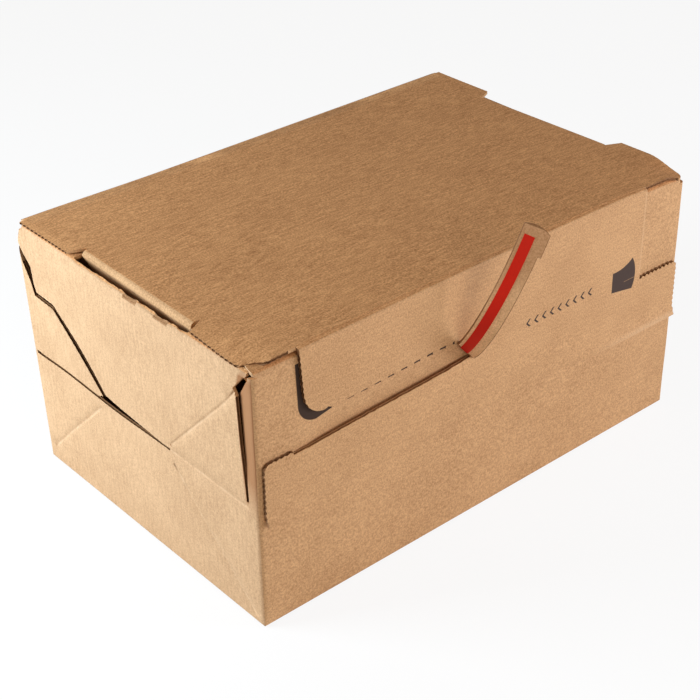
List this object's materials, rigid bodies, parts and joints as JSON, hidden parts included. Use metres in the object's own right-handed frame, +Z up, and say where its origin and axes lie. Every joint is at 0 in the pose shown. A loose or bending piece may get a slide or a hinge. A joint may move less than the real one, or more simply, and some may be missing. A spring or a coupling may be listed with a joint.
{
  "type": "self-sealing shipping box",
  "caption": "Closed corrugated shipping box folded from one sheet, with tucked lid tabs, a sealed closing flap and a red tear strip peeled open for part of its length.",
  "frame": {"origin": "centre of the bottom panel, on the surface the box stands on", "axes": "+X along the length, to the right as seen from the front; -Y towards the closing flap and its tear strip; +Z up"},
  "size_m": [0.305, 0.2392, 0.1878],
  "materials": {
    "board": "matt brown kraft liner",
    "tape": "smooth red film",
    "adhesive": "tacky pale adhesive"
  },
  "bodies": {
    "root": {"carton": "board", "tear_tape": "tape", "seal_strip": "adhesive"}
  },
  "joints": []
}
